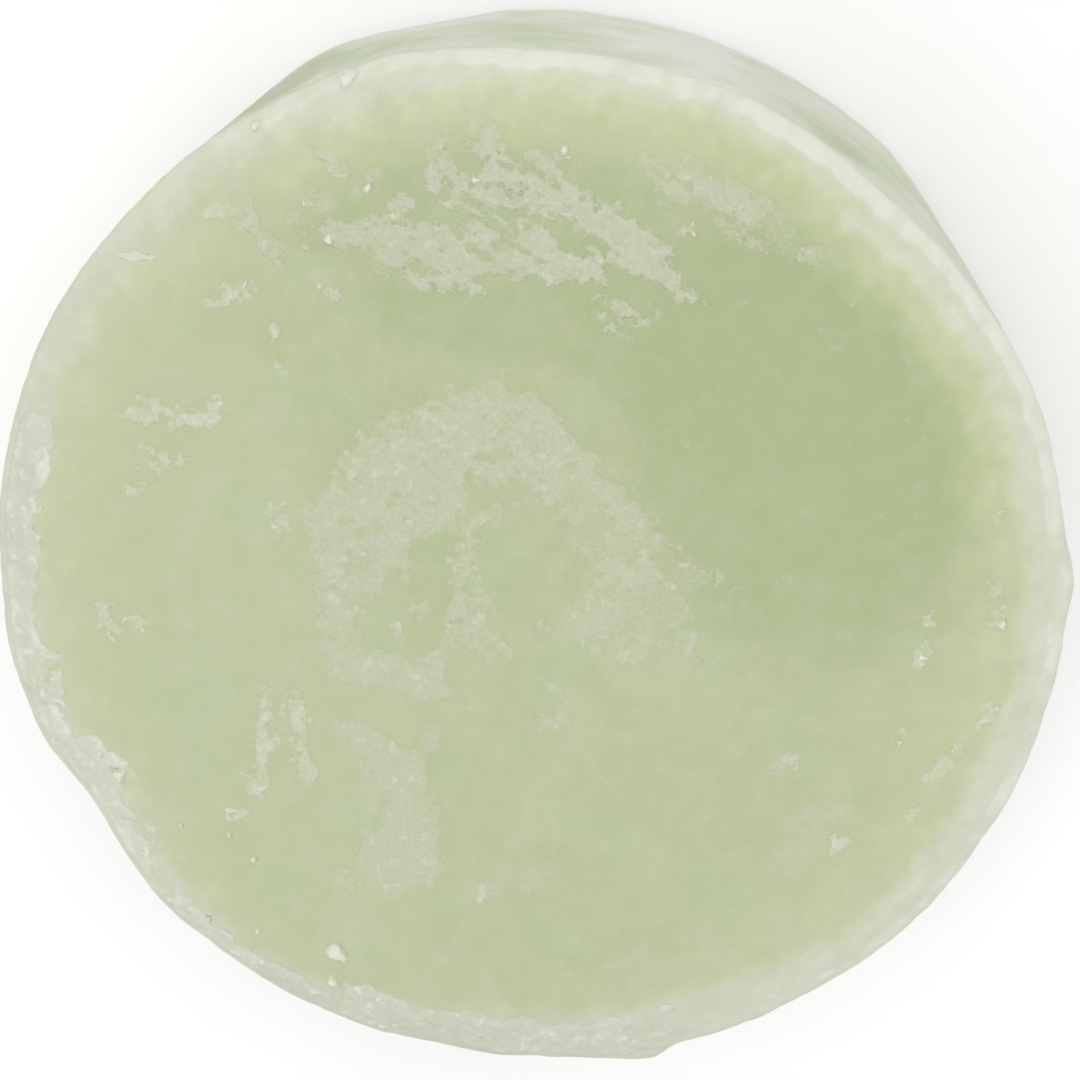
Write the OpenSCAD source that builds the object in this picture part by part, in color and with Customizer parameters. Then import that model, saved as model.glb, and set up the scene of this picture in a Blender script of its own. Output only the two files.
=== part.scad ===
// Round shaving soap puck, part used. One cast cake with a flat face, a softened shoulder and a plain
// round side wall. Dried lather film, flakes, slivers and crumbs of soap lie on its face as thin or small
// solids of their own. The axis of the puck is Z, the used face looks up, and the origin is the middle of
// the underside. All lengths are in millimetres.

/* [Cake] */
// Diameter over the side wall
cake_d = 70; // [66:1:76]
// Height from the underside to the flat face
cake_h = 22; // [16:1:30]
// Width of the softened shoulder that runs round the face
shoulder_w = 6.5; // [4:0.5:7]
// How far the shoulder drops from the face to the top of the side wall
shoulder_drop = 1.8; // [0.8:0.2:2.6]
// Radius of the rounded bottom edge
foot_r = 1.5; // [0.5:0.5:3]
// Depth of the worn chip in the upper edge
chip_depth = 0.6; // [0.2:0.1:1.2]

/* [Film and flakes] */
// Thickness of the dried lather film on the face
film_t = 0.15; // [0.1:0.05:0.4]
// Thickness of the dried film on the shoulder
edge_film_t = 0.2; // [0.1:0.05:0.4]
// Thickness of the loose flakes
flake_t = 0.25; // [0.1:0.05:0.5]

/* [Crumbs and slivers] */
// Height of the larger crumbs
crumb_h = 0.8; // [0.4:0.1:1.2]
// Thickness of the slivers
sliver_t = 0.3; // [0.2:0.05:0.5]

/* [Hidden] */
$fn = 180;

cake_r = cake_d / 2;
face_r = cake_r - shoulder_w;
// The shoulder is one arc, tangent to the face, that meets the side wall at a soft edge
shoulder_angle = 2 * atan(shoulder_drop / shoulder_w);
shoulder_r = shoulder_w / sin(shoulder_angle);
shoulder_steps = 8;
foot_steps = 6;

// Places on the face are given for a cake of this diameter, and spread with the real one
reference_d = 70;
spread = cake_d / reference_d;

// Chip in the upper edge: direction from the axis, lean of the cut and how far down the wall it reaches
chip_direction = 208;
chip_lean = 10;
chip_reach = 4.5;

function shoulder_slope(r) = r > face_r ? asin((r - face_r) / shoulder_r) : 0;
function surface_z(r) = cake_h - shoulder_r * (1 - cos(shoulder_slope(r)));
function radius(p) = norm([p[0], p[1]]);
// Point of the shoulder's arc at the slope a, lifted off it along its normal
function arc_point(a, lift) =
    [face_r + (shoulder_r + lift) * sin(a), cake_h - shoulder_r + (shoulder_r + lift) * cos(a)];

soap_green = "#B9C596";
film_cream = "#C6CAB2";
crust_grey = "#D2D5C5";
crumb_cream = "#E4E7D7";

// Profile of the cake, from the axis at the underside round to the axis at the face
module cake_profile() {
    polygon(concat(
        [[0, 0]],
        [for (i = [0:foot_steps]) let (a = 90 * i / foot_steps)
            [cake_r - foot_r + foot_r * sin(a), foot_r - foot_r * cos(a)]],
        [for (i = [shoulder_steps:-1:0]) arc_point(shoulder_angle * i / shoulder_steps, 0)],
        [[0, cake_h]]
    ));
}

// Leaning block that takes the chip out of the upper edge
module chip_cutter() {
    rotate([0, 0, chip_direction])
        translate([cake_r - chip_depth, 0, cake_h - shoulder_drop])
            rotate([0, -chip_lean, 0])
                translate([0, -cake_r / 2, -chip_reach])
                    cube([cake_r, cake_r, 3 * chip_reach]);
}

module soap_cake() {
    color(soap_green)
        difference() {
            rotate_extrude() cake_profile();
            chip_cutter();
        }
}

// Thin patch of dried film on the flat face, from its outline
module film_patch(outline, thickness = film_t) {
    translate([0, 0, cake_h])
        linear_extrude(height = thickness) polygon(outline * spread);
}

// Film round the middle of the face: a broad arch, open below, and the lobe at its lower left
module centre_film() {
    arch = [[-12.9, 0], [-13.6, 3], [-13.8, 6], [-11.6, 8.4], [-10.4, 10.6], [-8.6, 12.4], [-5, 13.7],
            [-1.4, 14.5], [1.6, 13.6], [4, 10.6], [6.6, 7.8], [9.2, 5.2], [8.6, 2.6], [11, 0.4], [11.4, -4],
            [8.4, -4.2], [4.8, -4.4], [3.2, -2.4], [3.8, 1], [5.4, 3.4], [2.4, 6], [0.4, 7.8],
            [-2.6, 8], [-3.6, 5], [-6.2, 4], [-7.4, 1.6], [-9.8, 0]];
    lobe = [[-13.4, -0.2], [-13, -3.4], [-11.8, -5.6], [-8, -6.2], [-6.4, -7.4], [-4.8, -5.6], [-4.8, -3.4],
            [-7.4, -4], [-10.4, -3.4], [-9.8, -0.2]];
    island = [[-5.6, -1.6], [-3.4, -0.4], [-2.2, -1.2], [-1, -3.6], [-2.2, -4.2], [-4.8, -2.6]];
    spur = [[1.7, -5.4], [2.9, -6.2], [3.1, -8.4], [1.8, -9.2], [1.3, -8.4], [2, -7]];
    color(film_cream)
        for (outline = [arch, lobe, island, spur]) film_patch(outline);
}

// Streaks near the top of the face, running down to the right
module upper_film() {
    long_streak = [[-5.4, 27.2], [-3.8, 27.3], [-2, 26.6], [-1.7, 29.4], [0, 28.6], [0.8, 27.2], [2.6, 27.4],
                   [4.6, 25.9], [7.8, 24], [8.6, 22.6], [10.4, 21.8], [11.8, 19.9], [9.4, 20.4],
                   [7.6, 21.6], [5.2, 23.4], [2.2, 24.4], [-0.6, 24.8], [-2.6, 25]];
    flat_flake = [[-9.9, 24.6], [-8.2, 23.6], [-6, 24.3], [-3.4, 23.8], [-1.6, 22.4], [0.6, 22.8],
                  [2.2, 22.6], [3.6, 21.2], [1.2, 21.2], [-1.6, 21.2], [-4.9, 20.6], [-7.6, 21.4], [-9, 22.4]];
    top_patch = [[-4.9, 28.4], [-3.2, 28.6], [-2, 28.2], [-2.4, 27.6], [-4.2, 27.7]];
    tail = [[4.6, 19.4], [5.6, 19.8], [7.4, 18.6], [7.2, 17.8], [5.4, 18.2]];
    color(film_cream)
        for (outline = [long_streak, flat_flake, top_patch, tail]) film_patch(outline);
}

// Thin broken streak on the upper right of the face
module right_film() {
    streak = [[10.2, 28.4], [11.4, 28.3], [13.4, 26.8], [15.8, 25.4], [14.4, 24.6], [12, 25.6], [10.2, 27]];
    spot = [[8.1, 28.3], [8.8, 27.9], [9.2, 27.2], [8.3, 27.4]];
    end_spot = [[17.4, 23.4], [18.8, 23.1], [19, 22.3], [17.6, 22.5]];
    color(film_cream)
        for (outline = [streak, spot, end_spot]) film_patch(outline);
}

// Upright band on the lower left of the face, with a narrow foot to its left
module lower_film() {
    band = [[-12.4, -9.8], [-10.6, -8.4], [-9, -10], [-7, -10.6], [-6, -8.6], [-5.6, -8.9], [-6.4, -11.8],
            [-6, -14], [-5.7, -17.6], [-6.1, -21], [-9.8, -22], [-11.4, -21.2], [-11.4, -18], [-10.8, -14],
            [-10.8, -11.6]];
    foot = [[-12.7, -19.8], [-11.6, -20], [-11.6, -21.2], [-13.7, -21.6]];
    color(film_cream)
        for (outline = [band, foot]) film_patch(outline);
}

// Dried film that follows the shoulder: direction where each stretch starts, its sweep, and how far its
// inner and outer edges lie in from the side wall
module edge_film() {
    stretches = [[157, 38, 3.6, 0.4], [199, 20, 4.6, 0.8], [222, 22, 2.4, 0.6], [246, 42, 4, 0.4]];
    steps = 5;
    color(crust_grey)
        difference() {
            for (s = stretches) {
                a_in = shoulder_slope(cake_r - s[2]);
                a_step = (shoulder_slope(cake_r - s[3]) - a_in) / steps;
                rotate([0, 0, s[0]])
                    rotate_extrude(angle = s[1])
                        polygon(concat(
                            [for (i = [0:steps]) arc_point(a_in + a_step * i, 0)],
                            [for (i = [steps:-1:0]) arc_point(a_in + a_step * i, edge_film_t)]
                        ));
            }
            chip_cutter();
        }
}

// Loose flakes, each a thin chip of film that has come away: place, length, width and turn
module flakes() {
    places = [[-17.3, -10.6, 7.4, 1.3, 84], [-14.8, -11.8, 3.2, 0.9, 100], [-21.6, 12.2, 6.4, 1.1, 2],
              [-23.4, 9.3, 2.4, 0.8, 20], [-15.2, 23.2, 2.3, 1, -50], [-16.4, 24.3, 1.4, 0.8, 15],
              [-17.8, 20, 1.5, 0.9, 30], [-10.6, 28.4, 1.5, 0.8, -60], [-7.6, 25.2, 2.2, 0.7, 25],
              [10.8, 24.2, 0.8, 0.5, 0], [13.3, 24.1, 0.6, 0.4, 30], [-27.4, -1.8, 1.6, 0.8, 60],
              [17.4, -11, 1.4, 0.8, 50], [20.6, -16.6, 2.4, 0.9, 60], [-3, -21, 1.6, 1, 70]];
    color(film_cream)
        for (p = places)
            translate([p[0], p[1], 0] * spread) rotate([0, 0, p[4]])
                film_patch([[-p[2] / 2, -p[3] * 0.2], [-p[2] * 0.1, -p[3] / 2], [p[2] * 0.4, -p[3] * 0.4],
                            [p[2] / 2, p[3] * 0.1], [p[2] * 0.2, p[3] / 2], [-p[2] * 0.3, p[3] * 0.4]],
                           flake_t);
}

// Places a small solid on the face or on the slope of the shoulder
module on_surface(p) {
    direction = atan2(p[1], p[0]);
    r = radius(p) * spread;
    rotate([0, 0, direction]) translate([r, 0, surface_z(r)])
        rotate([0, shoulder_slope(r), 0]) rotate([0, 0, -direction])
            children();
}

// Slivers: a straight one near the edge, one curl on the left, and two small rings
module slivers() {
    color(crumb_cream) {
        on_surface([-23.6, 22.4]) rotate([0, 0, -6])
            linear_extrude(height = sliver_t)
                polygon([[-1.3, -0.3], [-0.2, -0.4], [1.3, -0.1], [1.4, 0.1], [0.2, 0.2], [-1.2, 0]]);
        curl([-25.6, -2.2], 0.55, 0.8, -30, 200);
        curl([-19.7, -15.8], 0.35, 0.65, 20, 290);
        curl([-26.6, -2.6], 0.5, 0.8, 110, 150);
    }
}

// Part of a flat ring: place, inner and outer radius, start and sweep
module curl(p, r_in, r_out, start, sweep) {
    on_surface(p) rotate([0, 0, start])
        rotate_extrude(angle = sweep)
            translate([r_in, 0]) square([r_out - r_in, sliver_t]);
}

// Crumbs: place, length, width, height as a share of the larger crumbs, and turn
module crumbs() {
    places = [[-13, -26, 1.7, 1.1, 1, -55], [-13.6, -28.4, 1.1, 0.9, 0.8, 80], [-9.9, 33.2, 1.5, 1.1, 0.9, 30],
              [-15.7, 30.4, 0.9, 0.6, 0.7, 40], [30.6, -0.9, 0.9, 0.7, 0.8, 50], [25.8, -3.2, 0.9, 0.6, 0.6, -20],
              [24.6, -9.1, 0.6, 0.5, 0.5, 10], [-27.3, -13, 1.2, 0.9, 1, 20], [-28.6, -11.5, 0.8, 0.6, 0.8, 50],
              [-2, 27.3, 0.8, 0.5, 0.7, -20], [-8.8, 26.8, 0.8, 0.6, 0.6, 50], [-11.3, 23.7, 0.9, 0.6, 0.6, 60],
              [3.3, 29.1, 0.7, 0.5, 0.6, 40], [11.2, 24.1, 0.6, 0.4, 0.6, 0], [-20, -17.2, 0.5, 0.4, 0.6, 0],
              [-18.5, -19, 0.6, 0.5, 0.5, 30], [-23.3, -16.6, 0.5, 0.4, 0.6, 60], [-22, -24.1, 0.5, 0.4, 0.6, 0],
              [-18.5, -24.7, 0.5, 0.5, 0.5, 0], [30.6, -6.7, 0.6, 0.5, 0.6, 0], [28, -9.6, 0.6, 0.4, 0.5, 40],
              [-12.7, 25.9, 0.6, 0.4, 0.5, 60], [-16.7, 20.8, 0.6, 0.5, 0.5, 20], [5.4, 22.4, 0.6, 0.5, 0.6, 70]];
    color(crumb_cream)
        for (p = places)
            on_surface(p) rotate([0, 0, p[5]]) crumb(p[2], p[3], crumb_h * p[4]);
}

// One crumb: a block with broken, slanting sides and a flat base
module crumb(length, width, height) {
    intersection() {
        translate([-length, -width, 0]) cube([2 * length, 2 * width, height]);
        rotate([24, 18, 0]) cube([length, width, 3 * height], center = true);
        rotate([-16, -20, 50]) cube([length, (length + width) / 2, 3 * height], center = true);
    }
}

soap_cake();
centre_film();
upper_film();
right_film();
lower_film();
edge_film();
flakes();
slivers();
crumbs();
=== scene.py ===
"""Looks of a used shaving soap puck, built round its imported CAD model.

Lengths are in millimetres, in the frame of the CAD model: Z is the axis of the cake, the used face looks
up, and the origin is the middle of the underside. A mesh is scaled to metres when it is made.
"""

import math
from dataclasses import dataclass

import bpy
import numpy as np
from mathutils import Matrix, Vector, noise


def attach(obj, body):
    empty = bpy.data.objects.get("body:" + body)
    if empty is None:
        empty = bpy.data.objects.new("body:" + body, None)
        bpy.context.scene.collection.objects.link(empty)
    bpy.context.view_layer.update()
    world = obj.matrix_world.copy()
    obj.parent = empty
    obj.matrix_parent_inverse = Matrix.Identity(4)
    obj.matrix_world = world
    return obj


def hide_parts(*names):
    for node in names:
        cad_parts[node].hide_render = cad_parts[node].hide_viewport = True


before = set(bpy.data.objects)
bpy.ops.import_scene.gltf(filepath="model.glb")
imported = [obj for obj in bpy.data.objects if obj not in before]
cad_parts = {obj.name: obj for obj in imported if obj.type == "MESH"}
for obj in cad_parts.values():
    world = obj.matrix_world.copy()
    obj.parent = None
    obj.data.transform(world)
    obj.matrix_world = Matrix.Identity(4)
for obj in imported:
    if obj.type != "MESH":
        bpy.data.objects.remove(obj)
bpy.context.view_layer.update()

MM = 0.001
# Blender's own noise starts from the clock if it isn't given a seed
noise.seed_set(7)

# -------- sizes, read from the CAD cake


def node_points(node):
    """The corner points of a CAD node's mesh, in millimetres."""
    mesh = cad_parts[node].data
    points = np.zeros(len(mesh.vertices) * 3, np.float32)
    mesh.vertices.foreach_get("co", points)
    return points.reshape(-1, 3).astype(float) / MM


cake_points = node_points("soap_cake")
cake_radii = np.hypot(cake_points[:, 0], cake_points[:, 1])
CAKE_R = cake_radii.max()
CAKE_H = cake_points[:, 2].max()
NEAR = 0.01
FACE_R = cake_radii[cake_points[:, 2] > CAKE_H - NEAR].max()
ARRIS_Z = cake_points[cake_radii > CAKE_R - NEAR, 2].max()
FOOT_ROUND = cake_points[cake_radii > CAKE_R - NEAR, 2].min()

# The shoulder is one arc, tangent to the face, from FACE_R out to the arris
SHOULDER_W = CAKE_R - FACE_R
SHOULDER_ANGLE = 2 * math.atan((CAKE_H - ARRIS_Z) / SHOULDER_W)
SHOULDER_R = SHOULDER_W / math.sin(SHOULDER_ANGLE)
# The arris itself is worn to this radius
ARRIS_ROUND = 0.7

# -------- noise and small helpers

LATTICE = 128


def smooth(t):
    """Smooth step of t, from 0 at 0 to 1 at 1."""
    t = np.clip(t, 0, 1)
    return t * t * (3 - 2 * t)


def ramp(value, start, end):
    """Smooth ramp of value, from 0 at start to 1 at end."""
    return smooth((value - start) / (end - start))


def lattice_noise(x, y, cell, seed):
    """Smooth noise from -1 to 1 whose features are about as wide as cell."""
    values = np.random.default_rng(seed).uniform(-1, 1, (LATTICE, LATTICE))
    u, v = x / cell, y / cell
    i, j = np.floor(u).astype(int), np.floor(v).astype(int)
    s, t = smooth(u - i), smooth(v - j)
    i0, i1, j0, j1 = i % LATTICE, (i + 1) % LATTICE, j % LATTICE, (j + 1) % LATTICE
    low = values[i0, j0] * (1 - s) + values[i1, j0] * s
    high = values[i0, j1] * (1 - s) + values[i1, j1] * s
    return low * (1 - t) + high * t


def fractal(x, y, cell, seed, octaves=4, gain=0.55):
    """Noise of several sizes, from cell down, from about -1 to 1."""
    total, weight = 0, 0
    for octave in range(octaves):
        share = gain**octave
        turn = 0.7 * octave
        u = x * math.cos(turn) - y * math.sin(turn)
        v = x * math.sin(turn) + y * math.cos(turn)
        total = total + share * lattice_noise(u, v, cell / 2**octave, seed + octave)
        weight += share
    return 1.6 * total / weight


def streaked(x, y, direction, along, across, seed, octaves=3):
    """Noise that is stretched along a direction, in degrees."""
    a = math.radians(direction)
    u = (x * math.cos(a) + y * math.sin(a)) / along
    v = (-x * math.sin(a) + y * math.cos(a)) / across
    return fractal(u, v, 1.0, seed, octaves)


def ring_noise(theta, z, cell, seed, octaves=3):
    """Noise on the side wall, seamless round the cake."""
    x, y = CAKE_R * np.cos(theta), CAKE_R * np.sin(theta)
    return fractal(x + 0.37 * z, y - 0.61 * z, cell, seed, octaves)


def angle_from(theta, direction):
    """Signed difference between theta (radians) and a direction (degrees), in degrees."""
    return (np.degrees(theta) - direction + 180) % 360 - 180


def segment_distance(x, y, start, end):
    """Distance from each point to a straight segment."""
    sx, sy = end[0] - start[0], end[1] - start[1]
    t = np.clip(((x - start[0]) * sx + (y - start[1]) * sy) / (sx * sx + sy * sy), 0, 1)
    return np.hypot(x - start[0] - t * sx, y - start[1] - t * sy)


def path_distance(x, y, points):
    """Distance from each point to a chain of segments."""
    pairs = zip(points[:-1], points[1:])
    return np.minimum.reduce([segment_distance(x, y, a, b) for a, b in pairs])


# -------- shape of the cake

# Departures of the upper edge from a circle: direction, half widths before and after it, change in radius
EDGE_MARKS = [
    (2, 5, 6, 0.4), (22, 14, 10, 0.1), (47, 18, 16, -0.4), (104, 16, 14, 0.35), (188, 8, 7, 0.15),
    (208, 11, 18, -1.05), (232, 14, 14, -0.1), (258, 10, 10, -0.1), (284, 10, 3, 0.6),
    (318, 16, 16, 0.15),
]
# The same for the lower part of the side wall
WALL_MARKS = [
    (34, 26, 18, -0.9), (115, 18, 12, 0.65), (136, 11, 16, -0.9), (160, 20, 20, -0.1),
    (250, 30, 30, 0.15), (330, 20, 20, -0.15),
]


def marked_change(theta, marks):
    """Sum of the marks' changes in radius at each direction."""
    change = np.zeros_like(theta)
    for direction, before, after, size in marks:
        gap = angle_from(theta, direction)
        reach = np.where(gap < 0, before, after)
        change += size * smooth(1 - np.abs(gap) / reach)
    return change


def edge_radius(theta):
    """Radius of the worn upper edge."""
    fine = 0.05 * ring_noise(theta, 0, 1.6, 11) + 0.09 * ring_noise(theta, 0, 6, 12)
    return CAKE_R + marked_change(theta, EDGE_MARKS) + fine - 0.12


def shoulder_height(r):
    """Height of the unworn cake at radius r."""
    slope = np.arcsin(np.clip((r - FACE_R) / SHOULDER_R, 0, math.sin(SHOULDER_ANGLE)))
    return CAKE_H - SHOULDER_R * (1 - np.cos(slope))


# A faint crest left by wiping, inside the shoulder on the right
CREST = [(30.8, 3.5), (31, -1), (30.6, -6.5), (28.4, -9.6), (26.8, -12.6), (25.6, -14.4)]


def surface_height(x, y):
    """Height of the worn top of the cake, from the axis out to the arris."""
    theta = np.arctan2(y, x)
    r = np.hypot(x, y) * CAKE_R / edge_radius(theta)
    waves = 0.05 * fractal(x, y, 13, 21, 2) + 0.014 * fractal(x, y, 3.4, 22, 3)
    on_shoulder = ramp(r, FACE_R - 1.5, FACE_R + 3)
    lumps = on_shoulder * 0.1 * fractal(x, y, 2.6, 23, 4)
    crest = 0.09 * smooth(1 - path_distance(x, y, CREST) / 0.9) * (0.6 + 0.6 * fractal(x, y, 0.9, 24, 2))
    return shoulder_height(r) + waves * (1 - 0.5 * on_shoulder) + lumps + crest


def wall_radius(theta, z):
    """Radius of the side wall at height z, between the foot and the arris."""
    up = ramp(z, 2, ARRIS_Z)
    shape = marked_change(theta, WALL_MARKS) * (1 - up) + (edge_radius(theta) - CAKE_R) * up
    along_x, along_y = CAKE_R * np.cos(theta) * 0.35, CAKE_R * np.sin(theta) * 0.35
    drag = 0.06 * fractal(along_x, along_y + z * 1.3, 1.2, 31, 3)
    dents = 0.10 * ring_noise(theta, z, 7, 32, 3) + 0.025 * ring_noise(theta, z, 1.3, 33, 3)
    return CAKE_R - 0.06 + shape + (drag + dents) * (1 - 0.6 * up)


# -------- mesh building


def make_object(name, points, faces, attributes=None, smooth_shaded=True):
    """A mesh object from points in millimetres, with float attributes on its points."""
    mesh = bpy.data.meshes.new(name)
    mesh.from_pydata((np.asarray(points, float) * MM).tolist(), [], faces)
    for key, values in (attributes or {}).items():
        layer = mesh.attributes.new(key, "FLOAT", "POINT")
        layer.data.foreach_set("value", np.asarray(values, np.float32))
    mesh.polygons.foreach_set("use_smooth", [smooth_shaded] * len(mesh.polygons))
    mesh.validate()
    mesh.update()
    piece = bpy.data.objects.new(name, mesh)
    bpy.context.scene.collection.objects.link(piece)
    return piece


def disc_grid(rings):
    """Square grid wrapped onto a unit disc: points, faces and the order of the rim, anticlockwise."""
    side = 2 * rings + 1
    a, b = np.meshgrid(np.linspace(-1, 1, side), np.linspace(-1, 1, side))
    a, b = a.ravel(), b.ravel()
    wide = np.abs(a) >= np.abs(b)
    r = np.where(wide, a, b)
    safe = np.where(r == 0, 1, r)
    phi = np.where(wide, math.pi / 4 * b / safe, math.pi / 2 - math.pi / 4 * a / safe)
    x, y = r * np.cos(phi), r * np.sin(phi)
    index = np.arange(side * side).reshape(side, side)
    quads = np.stack([index[:-1, :-1], index[:-1, 1:], index[1:, 1:], index[1:, :-1]], -1).reshape(-1, 4)
    rim = np.where(np.maximum(np.abs(a), np.abs(b)) > 1 - 1e-9)[0]
    rim = rim[np.argsort(np.arctan2(y[rim], x[rim]) % (2 * math.pi), kind="stable")]
    return x, y, quads.tolist(), rim


def bridge(upper, lower):
    """Faces between two closed rings, seen from outside. The lower has as many points or half as many."""
    n, m = len(upper), len(lower)
    if n == m:
        return [(upper[k], lower[k], lower[(k + 1) % n], upper[(k + 1) % n]) for k in range(n)]
    faces = []
    for k in range(m):
        a, b, c = upper[2 * k], upper[2 * k + 1], upper[(2 * k + 2) % n]
        p, q = lower[k], lower[(k + 1) % m]
        faces += [(a, p, b), (b, p, q), (b, q, c)]
    return faces


TOP_RINGS = 120
BOTTOM_RINGS = 60
WALL_STEPS = 34
# This share of the top grid's rings covers the face, out to this radius. The rest are closer together
FACE_SHARE = 0.7
FACE_REACH = 26.5


def cake_shape():
    """Points and faces of the whole cake."""
    x, y, faces, rim = disc_grid(TOP_RINGS)
    theta = np.arctan2(y, x)
    share = np.hypot(x, y)
    end_angle = math.asin((CAKE_R - ARRIS_ROUND * 0.5 - FACE_R) / SHOULDER_R)
    top_end = CAKE_R - ARRIS_ROUND * (1 - math.sin(end_angle))
    nominal = np.interp(share, [0, FACE_SHARE, 1], [0, FACE_REACH, top_end])
    stretch = 1 + (edge_radius(theta) / CAKE_R - 1) * ramp(nominal, 12, CAKE_R)
    x, y = nominal * np.cos(theta) * stretch, nominal * np.sin(theta) * stretch
    points = [np.stack([x, y, surface_height(x, y)], -1)]
    count = len(x)

    def add_ring(total, radius_at, height_at):
        nonlocal count
        angle = np.arange(total) * 2 * math.pi / total
        r, z = radius_at(angle), height_at(angle)
        points.append(np.stack([r * np.cos(angle), r * np.sin(angle), z + np.zeros_like(r)], -1))
        count += total
        return np.arange(count - total, count)

    rim_points = points[0][rim]
    rim_r, rim_z = np.hypot(rim_points[:, 0], rim_points[:, 1]), rim_points[:, 2]
    centre_r = rim_r - ARRIS_ROUND * math.sin(end_angle)
    centre_z = rim_z - ARRIS_ROUND * math.cos(end_angle)
    ring, angle_step = rim, (math.pi / 2 - end_angle) / 4
    for k in range(1, 4):
        a = end_angle + k * angle_step
        arris = add_ring(
            len(rim),
            lambda t: centre_r + ARRIS_ROUND * math.sin(a),
            lambda t: centre_z + ARRIS_ROUND * math.cos(a),
        )
        faces += bridge(ring, arris)
        ring = arris
    wall_top = centre_z.mean()
    for k in range(WALL_STEPS + 1):
        z = wall_top + (FOOT_ROUND - wall_top) * k / WALL_STEPS
        step = add_ring(len(rim) // 2, lambda t: wall_radius(t, z), lambda t: z)
        faces += bridge(ring, step)
        ring = step
    for a in np.radians([22, 45, 68, 90]):
        foot = add_ring(
            len(ring),
            lambda t: wall_radius(t, FOOT_ROUND) - FOOT_ROUND * (1 - math.cos(a)),
            lambda t: FOOT_ROUND * (1 - math.sin(a)) + 0.04 * (1 + ring_noise(t, 0, 2.4, 41)) * math.cos(a),
        )
        faces += bridge(ring, foot)
        ring = foot
    ring_xy = points[-1][:, :2]
    ring_r = np.hypot(ring_xy[:, 0], ring_xy[:, 1])
    bx, by, quads, bottom_rim = disc_grid(BOTTOM_RINGS)
    b_theta = np.arctan2(by, bx) % (2 * math.pi)
    b_share = np.hypot(bx, by)
    b_r = b_share * np.interp(b_theta, np.linspace(0, 2 * math.pi, len(ring) + 1), [*ring_r, ring_r[0]])
    inner = b_share < 1 - 1e-9
    hollow = 0.05 + 0.04 * fractal(bx * CAKE_R, by * CAKE_R, 5, 42, 3)
    b_z = np.clip(hollow, 0, 0.2) * smooth((1 - b_share) * 6)
    # The bottom grid's rim points are the last ring of the foot, so that the cake is one closed surface
    lookup = np.zeros(len(bx), int)
    lookup[inner] = count + np.arange(inner.sum())
    lookup[bottom_rim] = ring
    points.append(np.stack([b_r * np.cos(b_theta), b_r * np.sin(b_theta), b_z], -1)[inner])
    faces += [tuple(lookup[i] for i in reversed(quad)) for quad in quads]
    return np.concatenate(points), [tuple(int(i) for i in face) for face in faces]


# -------- where the cake is bare, pale or crusted, and where soft shade and reflection are painted on the face

# Pale bloom on the shoulder: direction, the radii where it starts and would be full, the radius where the
# whitish band along the arris starts, and how light that band is
BLOOM = [
    (0, 26.5, 36, 32.2, 0.75), (24, 28.2, 36, 33, 0.9), (48, 28.8, 36, 33.4, 0.95),
    (72, 29, 36, 33.3, 0.95), (96, 28, 35, 32.9, 0.95), (120, 27, 35.6, 33, 0.7),
    (144, 25.5, 37, 32.8, 0.45), (168, 25, 36.5, 32.2, 0.4), (192, 25, 36, 32.4, 0.45),
    (216, 26.5, 36, 31.8, 0.6), (240, 28, 39, 32.6, 0.3), (264, 27.5, 38, 30.6, 0.15),
    (288, 26, 36.5, 30.2, 0.45), (312, 25.5, 36, 32, 0.75), (336, 25.5, 36.5, 32, 0.85),
    (360, 26.5, 36, 32.2, 0.75),
]


# Whitish smear that runs down along the shoulder on the upper right
SMEAR = [(20.4, 24.8), (22.6, 23.4), (25.2, 21.2), (27.4, 18.6)]
SMEAR_R = 0.9


def shoulder_masks(x, y):
    """Green bloom on the shoulder, and the whitish band along the arris with its lightness."""
    theta = np.arctan2(y, x)
    r = np.hypot(x, y) * CAKE_R / edge_radius(theta)
    degrees = np.degrees(theta) % 360
    columns = list(zip(*BLOOM))
    start, end, inner, light = (np.interp(degrees, columns[0], column) for column in columns[1:])
    lines = 0.15 * fractal(r * 2.2, degrees * 0.05, 1.0, 52, 3)
    clots = fractal(x, y, 0.8, 57, 3)
    front = r + 0.6 * fractal(x, y, 1.7, 51, 4) + 0.5 * clots + lines
    bloom = np.clip((front - start) / (end - start), 0, 1)
    band = smooth((r + 0.55 * fractal(x, y, 2.4, 53, 4) + 0.15 * clots + lines - inner + 1.1) / 2.2)
    smear = smooth(1.2 - path_distance(x, y, SMEAR) / SMEAR_R + 0.5 * fractal(x, y, 1.2, 55, 3))
    line = 0.35 * smooth((r + 0.3 * fractal(x, y, 1.6, 56, 3) - 33.7) / 0.5) * light
    light = 0.75 * light + 0.17 * fractal(x, y, 1.8, 54, 4) + 0.1 * clots + 0.5 * lines
    return bloom, np.maximum(band, 0.8 * smear), np.clip(np.maximum(light, 0.65 * smear) + line, 0, 1)


# Less hazed places round the films, partly painted shade where pits in the films lie in shadow: middle,
# half length, half width and strength
DARKER_AND_SHADED = [
    (-1, 19.5, 15, 6, 0.75), (4, 20, 9, 8, 0.85), (-4, 25.5, 17, 7, 0.65), (4, 25, 14, 5, 0.7),
    (-3, 13, 17, 12, 0.38), (-3, 3, 13, 10, 0.35), (-16, 19, 7, 6, 0.3), (6.2, 12.2, 4.5, 4, 0.5),
]


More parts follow.
